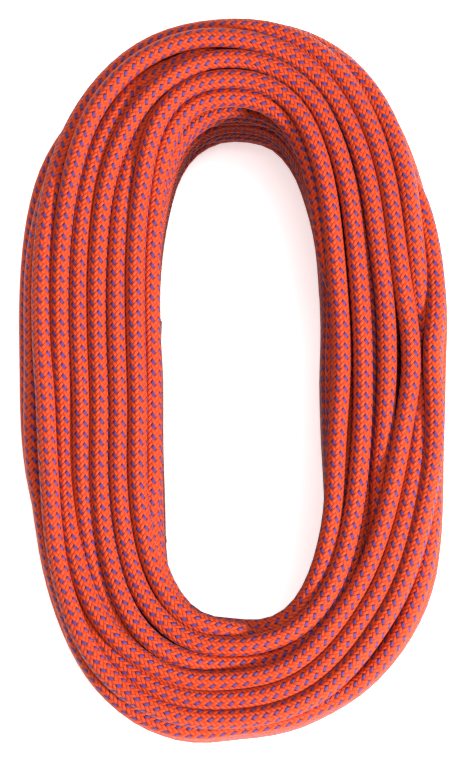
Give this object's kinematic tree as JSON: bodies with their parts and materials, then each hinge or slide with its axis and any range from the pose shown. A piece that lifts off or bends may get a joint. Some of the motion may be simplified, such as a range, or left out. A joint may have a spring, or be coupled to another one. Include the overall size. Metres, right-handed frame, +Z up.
{
  "type": "dynamic climbing rope",
  "caption": "Kernmantle dynamic climbing rope wound into a long oval coil, with its braided sheath, core strands, marker tape, shrink sleeves and fused tips.",
  "frame": {"origin": "centre of the coil's footprint, on the surface it lies on", "axes": "+Z up out of the coil's face, +Y along the coil's long axis, +X across it"},
  "size_m": [0.214, 0.3643, 0.1171],
  "materials": {
    "sheath": "braided orange-red polyamide yarn with violet accent yarns, slightly silky",
    "core": "white twisted polyamide strands",
    "marker_tape": "thin plain tape",
    "end_sleeve": "shrunk tubing, semi-matt, plain",
    "fused_tip": "melted polyamide, smooth and darker than the sheath"
  },
  "bodies": {
    "root": {"rope_coil": "sheath", "inner_end_sheath": "sheath", "inner_end_core_strand_01": "core", "inner_end_core_strand_02": "core", "inner_end_core_strand_03": "core", "inner_end_core_strand_04": "core", "inner_end_core_strand_05": "core", "inner_end_core_strand_06": "core", "inner_end_core_strand_07": "core", "inner_end_core_strand_08": "core", "inner_end_core_strand_09": "core", "inner_end_core_strand_10": "core", "inner_end_core_strand_11": "core", "inner_end_marker_tape": "marker_tape", "inner_end_sleeve": "end_sleeve", "inner_end_tip": "fused_tip", "outer_end_sheath": "sheath", "outer_end_core_strand_01": "core", "outer_end_core_strand_02": "core", "outer_end_core_strand_03": "core", "outer_end_core_strand_04": "core", "outer_end_core_strand_05": "core", "outer_end_core_strand_06": "core", "outer_end_core_strand_07": "core", "outer_end_core_strand_08": "core", "outer_end_core_strand_09": "core", "outer_end_core_strand_10": "core", "outer_end_core_strand_11": "core", "outer_end_marker_tape": "marker_tape", "outer_end_sleeve": "end_sleeve", "outer_end_tip": "fused_tip"}
  },
  "joints": []
}
